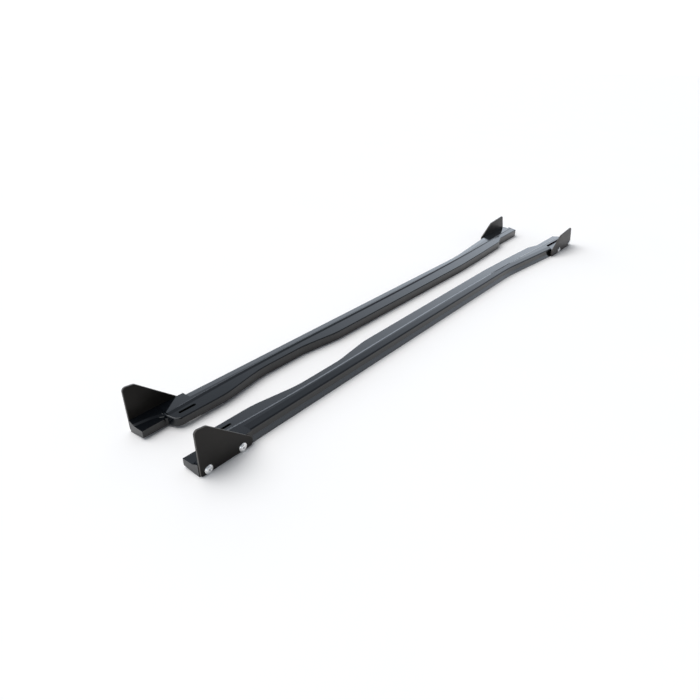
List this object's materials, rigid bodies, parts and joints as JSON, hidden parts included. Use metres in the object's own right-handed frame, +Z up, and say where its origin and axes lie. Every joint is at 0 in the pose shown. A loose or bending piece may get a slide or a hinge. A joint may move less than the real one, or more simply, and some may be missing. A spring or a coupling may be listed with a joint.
{
  "type": "side sill blade pair",
  "caption": "Mirrored pair of long slim side sill blades with a flat flange, raised bead, flared front end and upright end fins bolted to the outer faces.",
  "frame": {"origin": "midway between the two blades and midway along them, on the plane they rest on", "axes": "+X from the rear end (tall fins) to the front end (long low fins), +Y to the left blade, +Z up"},
  "size_m": [1.788, 0.299, 0.0999],
  "materials": {
    "blade_plastic": "gloss black moulded plastic with a fine moulded texture",
    "fin_plastic": "black sheet plastic, satin faces and cut edges",
    "bright_zinc": "bright zinc plated steel",
    "dull_zinc": "dull zinc plated steel"
  },
  "bodies": {
    "root": {"left_blade": "blade_plastic", "right_blade": "blade_plastic", "left_rear_fin": "fin_plastic", "left_rear_fin_screws": "bright_zinc", "left_rear_fin_outer_washers": "bright_zinc", "left_rear_fin_inner_washers": "dull_zinc", "left_rear_fin_locking_nuts": "dull_zinc", "left_front_fin": "fin_plastic", "left_front_fin_screws": "bright_zinc", "left_front_fin_outer_washers": "bright_zinc", "left_front_fin_inner_washers": "dull_zinc", "left_front_fin_locking_nuts": "dull_zinc", "right_rear_fin": "fin_plastic", "right_rear_fin_screws": "bright_zinc", "right_rear_fin_outer_washers": "bright_zinc", "right_rear_fin_inner_washers": "dull_zinc", "right_rear_fin_locking_nuts": "dull_zinc", "right_front_fin": "fin_plastic", "right_front_fin_screws": "bright_zinc", "right_front_fin_outer_washers": "bright_zinc", "right_front_fin_inner_washers": "dull_zinc", "right_front_fin_locking_nuts": "dull_zinc"}
  },
  "joints": []
}
